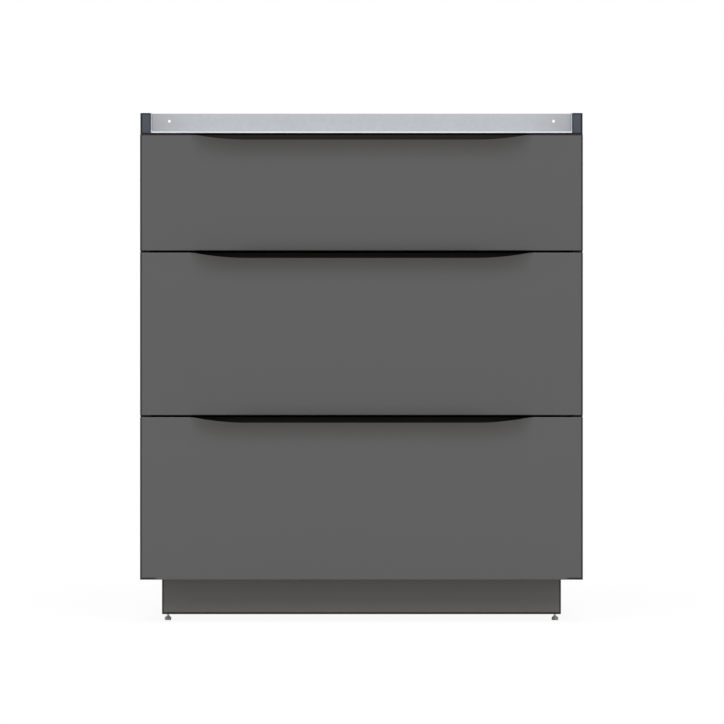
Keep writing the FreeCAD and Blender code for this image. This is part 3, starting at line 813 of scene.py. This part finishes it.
# ---------------------------------------------------------------- drawer fronts
def front_stations(sizes, x_end, y_face, y_back, z_low, z_edge):
    """Sections of a drawer front from its left end to its right end."""
    far = x_end - sizes.margin
    near = far - sizes.end_run
    turn = 2 * math.atan(sizes.dip / sizes.end_run)
    tail_radius = sizes.end_run / math.sin(turn) - sizes.lead_radius
    z_lip = z_edge - sizes.dip
    z_start = z_lip - sizes.flare
    rows = 12
    groove_rows = 5

    def drop(x):
        run = far - abs(x)
        if run <= 0:
            return 0.0
        if run <= sizes.lead_radius * math.sin(turn):
            return sizes.lead_radius - math.sqrt(sizes.lead_radius ** 2 - run ** 2)
        rest = max(abs(x) - near, 0.0)
        return sizes.dip - tail_radius + math.sqrt(tail_radius ** 2 - rest ** 2)

    def section(x, grooved):
        down = drop(x)
        out = sizes.reach * (max(down, 0.0) / sizes.dip) ** 0.6

        def lean(z):
            return out * ((z - z_start) / sizes.flare) ** 3

        z_top = z_edge - down
        face = [z_start + (z_top - z_start) * k / rows for k in range(rows + 1)]
        corners = [(y_back, z_low), (y_face, z_low)] + [(y_face - lean(z), z) for z in face]
        y_wall = y_face + sizes.wall
        y_rear = y_back - sizes.back_wall
        corners.append((y_wall - lean(z_top), z_top))
        z_floor = z_lip - sizes.groove
        if grooved:
            heights = [z_top + (z_floor - z_top) * k / groove_rows for k in range(1, groove_rows + 1)]
            corners += [(y_wall - lean(z), z) for z in heights] + [(y_rear, z_floor)]
        else:
            y_mouth = y_wall - lean(z_top)
            steps = [k / (groove_rows + 1) for k in range(1, groove_rows + 1)]
            corners += [(y_mouth + (y_rear - y_mouth) * step, z_top) for step in steps]
            corners.append((y_rear, z_top))
        corners += [(y_rear, z_edge + 1e-6), (y_back, z_edge)]
        return corners

    groove_end = far - sizes.wall
    steps = 18
    run = [far - sizes.end_run * k / steps for k in range(steps + 1)]
    half = sorted(set([x_end] + run + [groove_end]), reverse=True)
    stations = []
    for x in [-x for x in half] + half[::-1]:
        grooved = abs(x) < groove_end - 1e-6
        at_end = abs(abs(x) - groove_end) < 1e-6
        if at_end:
            pair = [(x, section(x, False)), (x, section(x, True))]
            stations += pair if x < 0 else pair[::-1]
        else:
            stations.append((x, section(x, grooved)))
    return stations


def tell_height(piece, z_gap):
    """Stores how far each corner is above a height, for the foil's painted lip shadow."""
    rise = piece.data.attributes.new("above_gap", "FLOAT", "POINT")
    rise.data.foreach_set("value", [vertex.co.z - z_gap for vertex in piece.data.vertices])


class CABINET_OT_drawer_fronts(bpy.types.Operator):
    """Models the drawer fronts with their finger lips"""

    bl_idname = "cabinet.drawer_fronts"
    bl_label = "Drawer Fronts"

    def execute(self, context):
        sizes = context.scene.cabinet_front
        low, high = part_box("drawer_front_bottom")
        x_end = high.x
        y_back = high.y
        y_face = low.y + sizes.reach
        z_low, z_edge = low.z, high.z
        clear_selection()
        master = sweep("drawer_front", front_stations(sizes, x_end, y_face, y_back, z_low, z_edge))
        bpy.ops.mesh.select_all(action="SELECT")
        bpy.ops.mesh.remove_doubles(threshold=2e-6)
        bpy.ops.mesh.dissolve_degenerate(threshold=1e-6)
        face_outwards()
        far = x_end - sizes.margin

        def outer(edge):
            a, b = (v.co for v in edge.verts)
            if abs(a.y - y_face) > TOUCH or abs(b.y - y_face) > TOUCH:
                return False
            side = min(abs(a.x), abs(b.x)) > x_end - TOUCH
            bottom = max(a.z, b.z) < z_low + TOUCH
            top = min(a.z, b.z) > z_edge - TOUCH and min(abs(a.x), abs(b.x)) > far - TOUCH
            return side or bottom or top

        z_floor = z_edge - sizes.dip - sizes.groove
        y_rear = y_back - sizes.back_wall

        def groove_shaded(face):
            spot, way = face.calc_center_median(), face.normal
            if spot.z < z_floor - TOUCH or abs(spot.x) > far or spot.y > y_rear + TOUCH:
                return False
            back = way.y < -0.9 and abs(spot.y - y_rear) < TOUCH
            lip = way.y > 0.3 and spot.y < y_face + sizes.wall + TOUCH
            floor = way.z > 0.9 and abs(spot.z - z_floor) < TOUCH
            end = abs(way.x) > 0.9
            return back or lip or floor or end

        for slot in ("front_foil", "groove_painted_shade"):
            master.data.materials.append(bpy.data.materials[slot])
        # The groove's inner faces get the dark painted shade.
        pick(master, groove_shaded, "FACE")
        master.active_material_index = 1
        bpy.ops.object.material_slot_assign()
        pick(master, outer, "EDGE")
        bpy.ops.mesh.bevel(offset=sizes.edge_radius, offset_type="OFFSET", segments=5, affect="EDGES")
        close_edit()
        for drawer in DRAWERS:
            node = f"drawer_front_{drawer}"
            piece_low, piece_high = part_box(node)
            piece = twin_of(master, f"front_{drawer}")
            edit(piece)
            bpy.ops.transform.translate(value=(0, 0, piece_high.z - z_edge))
            lift = (piece_low.z - z_low) - (piece_high.z - z_edge)
            below = piece_high.z - sizes.dip - sizes.flare - 1e-4
            pick(piece, lambda vertex: vertex.co.z < below)
            bpy.ops.transform.translate(value=(0, 0, lift))
            close_edit()
            settle(piece, f"front_{drawer}")
            modify(
                piece, "BEVEL", width=sizes.fine_radius, segments=2, limit_method="ANGLE",
                angle_limit=math.radians(38), use_clamp_overlap=True, harden_normals=False,
            )
            smooth(piece)
            tell_height(piece, piece_low.z if drawer != "bottom" else piece_low.z - 1.0)
            tie(piece, f"drawer_{drawer}", "front_foil", node)
        bpy.data.objects.remove(master)
        return {"FINISHED"}


# ---------------------------------------------------------------- boards
class CABINET_OT_boards(bpy.types.Operator):
    """Rounds the edges of the body's boards and of the plinth's blocks"""

    bl_idname = "cabinet.boards"
    bl_label = "Boards"

    def execute(self, context):
        sizes = context.scene.cabinet_edges
        boards = {
            "side_left": "side_panel_left",
            "side_right": "side_panel_right",
            "floor_board": "bottom_panel",
            "rear_rail": "rear_top_rail",
        }
        boards |= {f"plinth_board_{side}": f"plinth_{side}" for side in ("front", "back", "left", "right")}
        for name, node in boards.items():
            dress(node, name, sizes.board, sizes.board_edge)
        dress("plinth_corner_blocks", "plinth_blocks", sizes.block, sizes.board_edge)
        return {"FINISHED"}


class CABINET_OT_drawer_boxes(bpy.types.Operator):
    """Rounds the edges of the drawer boxes' boards"""

    bl_idname = "cabinet.drawer_boxes"
    bl_label = "Drawer Boxes"

    def execute(self, context):
        sizes = context.scene.cabinet_edges
        kinds = ("drawer_box_front", "drawer_box_back", "drawer_side_left", "drawer_side_right")
        for drawer in DRAWERS:
            for kind in kinds:
                node = f"{kind}_{drawer}"
                name = node.replace("drawer_", "box_").replace("box_box", "box")
                dress(node, name, sizes.board * 0.6, sizes.board_edge)
        return {"FINISHED"}


# ---------------------------------------------------------------- steel
class CABINET_OT_pressed_rail(bpy.types.Operator):
    """Rounds the folds of the pressed rail"""

    bl_idname = "cabinet.pressed_rail"
    bl_label = "Pressed Rail"

    def execute(self, context):
        sizes = context.scene.cabinet_edges
        piece = merged("front_top_rail", "pressed_rail")
        low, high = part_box("front_top_rail")
        y_web = min(vertex.co.y for vertex in piece.data.vertices if abs(vertex.co.z - low.z) < TOUCH)

        def along(edge):
            a, b = (vertex.co for vertex in edge.verts)
            return abs(a.x - b.x) > 0.9 * (a - b).length

        def outer_fold(edge):
            a = edge.verts[0].co
            top = abs(a.z - high.z) < TOUCH and abs(a.y - y_web) < TOUCH
            foot = abs(a.y - low.y) < TOUCH and a.z < high.z - 10 * MM
            return along(edge) and (top or foot)

        round_edges(piece, sizes.steel, sizes.steel_edge, lambda edge: not outer_fold(edge))
        round_edges(piece, sizes.fold, sizes.steel_edge, outer_fold, 4)
        smooth(piece)
        finish_piece(piece, "front_top_rail")
        return {"FINISHED"}


class CABINET_OT_runners(bpy.types.Operator):
    """Rounds the rolled edges of the telescopic runners"""

    bl_idname = "cabinet.runners"
    bl_label = "Runners"

    def execute(self, context):
        sizes = context.scene.cabinet_edges
        for drawer in DRAWERS:
            for member in ("cabinet", "intermediate", "drawer"):
                node = f"{member}_runners_{drawer}"
                dress(node, f"{member}_slides_{drawer}", sizes.steel, sizes.steel_edge)
        return {"FINISHED"}


# ---------------------------------------------------------------- fittings
class CABINET_OT_screws(bpy.types.Operator):
    """Models a countersunk screw with a cross recess and puts it wherever the frame has one"""

    bl_idname = "cabinet.screws"
    bl_label = "Screws"

    def master(self, sizes, size):
        tip = 3 * sizes.shank - size
        outline = [
            (0.2 * sizes.shank, -size),
            (0.85 * sizes.shank, tip - sizes.shank),
            (sizes.shank, tip),
            (sizes.shank, -sizes.head_height),
            (0.97 * sizes.head, -0.1 * sizes.head_height),
            (sizes.head, -0.04 * sizes.head_height),
            (0.95 * sizes.head, 0.0),
        ]
        piece = turned("screw", outline, 24)
        cut_cross(piece, sizes.recess, 0.22 * sizes.recess, 1.1 * sizes.head_height)
        return piece

    def execute(self, context):
        sizes = context.scene.cabinet_fittings
        masters = {}
        nodes = [node for node in frame["nodes"] if node.endswith("_screws") or "_screws_" in node]
        for node in sorted(nodes):
            places = []
            for points in solids(node):
                spot, way, size = screw_place(points)
                key = round(size / MM)
                if key not in masters:
                    masters[key] = self.master(sizes, size)
                places.append((masters[key], spot, way))
            finish_piece(put_copies(node.replace("screws", "crossheads"), places), node)
        for piece in masters.values():
            bpy.data.objects.remove(piece)
        return {"FINISHED"}


class CABINET_OT_cams(bpy.types.Operator):
    """Models a cam disc with a rim and a cross recess and puts it wherever the frame has one"""

    bl_idname = "cabinet.cams"
    bl_label = "Cams"

    def execute(self, context):
        sizes = context.scene.cabinet_fittings
        discs = solids("cam_locks")
        radius, height = disc_size(discs[0])
        outline = [
            (0.97 * radius, -height),
            (radius, 0.3 * MM - height),
            (radius, -0.3 * MM),
            (0.96 * radius, 0.0),
            (0.85 * radius, 0.0),
            (0.82 * radius, -0.4 * MM),
        ]
        master = turned("cam", outline, 40)
        cut_cross(master, sizes.cam_recess, 0.25 * sizes.cam_recess, 3 * MM)
        places = [(master, *disc_place(points)) for points in discs]
        finish_piece(put_copies("cam_discs", places), "cam_locks")
        bpy.data.objects.remove(master)
        return {"FINISHED"}


class CABINET_OT_bumpers(bpy.types.Operator):
    """Models a domed bumper and puts it on the rear of every drawer front"""

    bl_idname = "cabinet.bumpers"
    bl_label = "Bumpers"

    def execute(self, context):
        for drawer in DRAWERS:
            node = f"front_bumpers_{drawer}"
            discs = solids(node)
            radius, height = disc_size(discs[0])
            outline = [(radius, -height), (radius, -0.6 * height)]
            for step in range(1, 7):
                angle = step * math.pi / 2 / 7
                outline.append((radius * math.cos(angle), height * (0.6 * math.sin(angle) - 0.6)))
            outline.append((0.02 * radius, 0.0))
            master = turned("bumper", outline, 32)
            places = [(master, *disc_place(points, way_up=True)) for points in discs]
            finish_piece(put_copies(f"bumpers_{drawer}", places), node)
            bpy.data.objects.remove(master)
        return {"FINISHED"}


class CABINET_OT_feet(bpy.types.Operator):
    """Models the glide pads and the threaded studs of the levelling feet"""

    bl_idname = "cabinet.feet"
    bl_label = "Feet"

    def pad(self, sizes, radius, height, socket):
        outline = [
            (0.90 * radius, 0.0),
            (0.97 * radius, 0.04 * height),
            (radius, 0.12 * height),
            (radius, 0.30 * height),
            (0.96 * radius, 0.33 * height),
            (0.96 * radius, 0.37 * height),
            (radius, 0.40 * height),
            (radius, 0.68 * height),
            (0.96 * radius, 0.75 * height),
            (0.62 * radius, 0.97 * height),
            (0.58 * radius, height),
            (sizes.spigot + 0.05 * MM, height),
            (sizes.spigot + 0.05 * MM, socket),
            (0.1 * sizes.spigot, socket),
        ]
        return turned("pad", outline, 40)

    def stud(self, sizes, bottom, seat, top):
        core = sizes.thread_core
        collar_top = seat + sizes.collar_height
        outline = [
            (0.85 * sizes.spigot, bottom),
            (sizes.spigot, bottom + 0.3 * MM),
            (sizes.spigot, seat),
            (sizes.collar, seat),
            (sizes.collar, seat + 0.2 * sizes.collar_height),
            (1.1 * core, collar_top),
            (core, collar_top + 0.1 * MM),
            (core, top - 0.5 * MM),
            (0.8 * core, top),
        ]
        piece = turned("stud", outline, 32)
        ridge = self.thread(sizes, core, collar_top + 0.6 * MM, top - 1.2 * MM)
        activate(piece, ridge)
        bpy.ops.object.join()
        return piece

    def thread(self, sizes, core, start, end):
        half = 0.46 * sizes.thread_pitch
        bpy.ops.mesh.primitive_circle_add(
            vertices=3, radius=half, rotation=(math.pi / 2, math.pi / 2, 0), location=(core, 0, start)
        )
        ridge = bpy.context.object
        settle(ridge, "thread")
        turns = int((end - start) / sizes.thread_pitch)
        modify(ridge, "SCREW", screw_offset=sizes.thread_pitch, iterations=turns, steps=24, render_steps=24)
        bpy.ops.object.mode_set(mode="EDIT")
        bpy.ops.mesh.select_all(action="SELECT")
        bpy.ops.mesh.remove_doubles(threshold=0.001 * MM)
        bpy.ops.mesh.fill_holes(sides=3)
        face_outwards()
        close_edit()
        return ridge

    def execute(self, context):
        sizes = context.scene.cabinet_fittings
        pad_low, pad_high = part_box("foot_pad_front_left")
        stud_low, stud_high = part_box("foot_stud_front_left")
        radius = (pad_high.x - pad_low.x) / 2
        pad = self.pad(sizes, radius, pad_high.z, stud_low.z - 0.05 * MM)
        stud = self.stud(sizes, stud_low.z, pad_high.z, stud_high.z)
        for foot in FEET:
            for master, kind in ((pad, "pad"), (stud, "stud")):
                node = f"foot_{kind}_{foot}"
                low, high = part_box(node)
                piece = twin_of(master, f"{kind}_{foot}")
                piece.location = ((low.x + high.x) / 2, (low.y + high.y) / 2, 0)
                settle(piece, f"{kind}_{foot}")
                smooth(piece, 30)
                finish_piece(piece, node)
        bpy.data.objects.remove(pad)
        bpy.data.objects.remove(stud)
        return {"FINISHED"}


# ---------------------------------------------------------------- finishes on the CAD nodes
class CABINET_OT_carried_parts(bpy.types.Operator):
    """Finishes the parts that keep their CAD shape"""

    bl_idname = "cabinet.carried_parts"
    bl_label = "Carried Parts"

    def execute(self, context):
        for name, node in frame["nodes"].items():
            coat(node, SLOTS[name])
        return {"FINISHED"}


class CABINET_OT_finishes(bpy.types.Operator):
    """Makes the finishes"""

    bl_idname = "cabinet.finishes"
    bl_label = "Finishes"

    def execute(self, context):
        for plain in list(bpy.data.materials):
            bpy.data.materials.remove(plain)
        finishes()
        return {"FINISHED"}


# ---------------------------------------------------------------- stage
def straight_view(tree):
    """1 where a surface is seen directly, mirrored or through glass, 0 where it only lights others."""
    path = tree.nodes.new("ShaderNodeLightPath")
    seen = path.outputs["Is Camera Ray"]
    for name in ("Is Glossy Ray", "Is Transmission Ray"):
        larger = tree.nodes.new("ShaderNodeMath")
        larger.operation = "MAXIMUM"
        tree.links.new(seen, larger.inputs[0])
        tree.links.new(path.outputs[name], larger.inputs[1])
        seen = larger.outputs[0]
    return seen


def coloured(tree, kind, tone):
    """A shader of one even colour."""
    made = tree.nodes.new(kind)
    made.inputs["Color"].default_value = (*tone, 1.0)
    return made.outputs[0]


def blended(tree, share, first, second):
    """A blend of two shaders. The share is a number or the output of a node."""
    made = tree.nodes.new("ShaderNodeMixShader")
    if isinstance(share, float):
        made.inputs[0].default_value = share
    else:
        tree.links.new(share, made.inputs[0])
    tree.links.new(first, made.inputs[1])
    tree.links.new(second, made.inputs[2])
    return made.outputs[0]


def floor_finish(sizes):
    """A floor that is seen as white with a faint shadow and throws back a warm part of the light."""
    material = bpy.data.materials.new("floor_paint")
    material.use_nodes = True
    tree = material.node_tree
    tree.nodes.remove(tree.nodes["Principled BSDF"])
    thrown = coloured(tree, "ShaderNodeBsdfDiffuse", sizes.bounce)
    white = coloured(tree, "ShaderNodeBsdfDiffuse", WHITE)
    glow = coloured(tree, "ShaderNodeEmission", WHITE)
    seen = blended(tree, sizes.floor_glow, white, glow)
    surface = blended(tree, straight_view(tree), thrown, seen)
    tree.links.new(surface, tree.nodes["Material Output"].inputs["Surface"])
    return material


class CABINET_OT_stage(bpy.types.Operator):
    """Sets the floor, the light and the camera"""

    bl_idname = "cabinet.stage"
    bl_label = "Stage"

    def execute(self, context):
        scene = context.scene
        sizes = scene.cabinet_stage
        clear_selection()
        bpy.ops.mesh.primitive_plane_add(size=60.0, location=(0, 0, 0))
        floor = context.object
        settle(floor, "floor")
        floor.data.materials.append(floor_finish(sizes))

        turn = (math.pi / 2 - sizes.key_height, 0, 0)
        bpy.ops.object.light_add(type="SUN", rotation=turn, location=(0, -3, 4))
        key = context.object
        key.name = "key_light"
        key.data.energy = sizes.key
        key.data.angle = sizes.key_width
        key.visible_glossy = False

        world = bpy.data.worlds.new("surroundings")
        world.use_nodes = True
        scene.world = world
        tree = world.node_tree
        sky = tree.nodes["Background"]
        sky.inputs["Color"].default_value = (*sizes.fill, 1.0)
        seen = coloured(tree, "ShaderNodeBackground", WHITE)
        surface = blended(tree, straight_view(tree), sky.outputs[0], seen)
        tree.links.new(surface, tree.nodes["World Output"].inputs["Surface"])

        y_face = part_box("drawer_front_top")[0].y + scene.cabinet_front.reach
        bpy.ops.object.camera_add(
            location=(sizes.aside, y_face - sizes.distance, sizes.height), rotation=(math.pi / 2, 0, 0)
        )
        camera = context.object
        camera.name = "camera"
        camera.data.sensor_width = SENSOR
        camera.data.lens = SENSOR * sizes.distance / sizes.frame_width
        camera.data.clip_end = 200.0
        scene.camera = camera
        scene.view_settings.view_transform = "Standard"
        return {"FINISHED"}


class CABINET_PT_build(bpy.types.Panel):
    """Lists the cabinet's pieces and their sizes"""

    bl_label = "Base Cabinet"
    bl_idname = "CABINET_PT_build"
    bl_space_type = "VIEW_3D"
    bl_region_type = "UI"
    bl_category = "Cabinet"

    def draw(self, context):
        for group in SETTINGS:
            settings = getattr(context.scene, group)
            for name in settings.bl_rna.properties.keys():
                if name not in ("rna_type", "name"):
                    self.layout.prop(settings, name)
        for step in STEPS:
            self.layout.operator(step.bl_idname)


SETTINGS = {
    "cabinet_front": CabinetFrontSettings,
    "cabinet_edges": CabinetEdgeSettings,
    "cabinet_fittings": CabinetFittingSettings,
    "cabinet_finish": CabinetFinishSettings,
    "cabinet_stage": CabinetStageSettings,
}
STEPS = (
    CABINET_OT_finishes,
    CABINET_OT_carried_parts,
    CABINET_OT_drawer_fronts,
    CABINET_OT_boards,
    CABINET_OT_drawer_boxes,
    CABINET_OT_pressed_rail,
    CABINET_OT_runners,
    CABINET_OT_screws,
    CABINET_OT_cams,
    CABINET_OT_bumpers,
    CABINET_OT_feet,
    CABINET_OT_stage,
)


def register():
    for cls in (*SETTINGS.values(), *STEPS, CABINET_PT_build):
        bpy.utils.register_class(cls)
    for name, cls in SETTINGS.items():
        setattr(bpy.types.Scene, name, bpy.props.PointerProperty(type=cls))


def unregister():
    for name in SETTINGS:
        delattr(bpy.types.Scene, name)
    for cls in (CABINET_PT_build, *STEPS[::-1], *SETTINGS.values()):
        bpy.utils.unregister_class(cls)


def main():
    register()
    for step in STEPS:
        group, name = step.bl_idname.split(".")
        getattr(getattr(bpy.ops, group), name)()


if __name__ == "__main__":
    main()
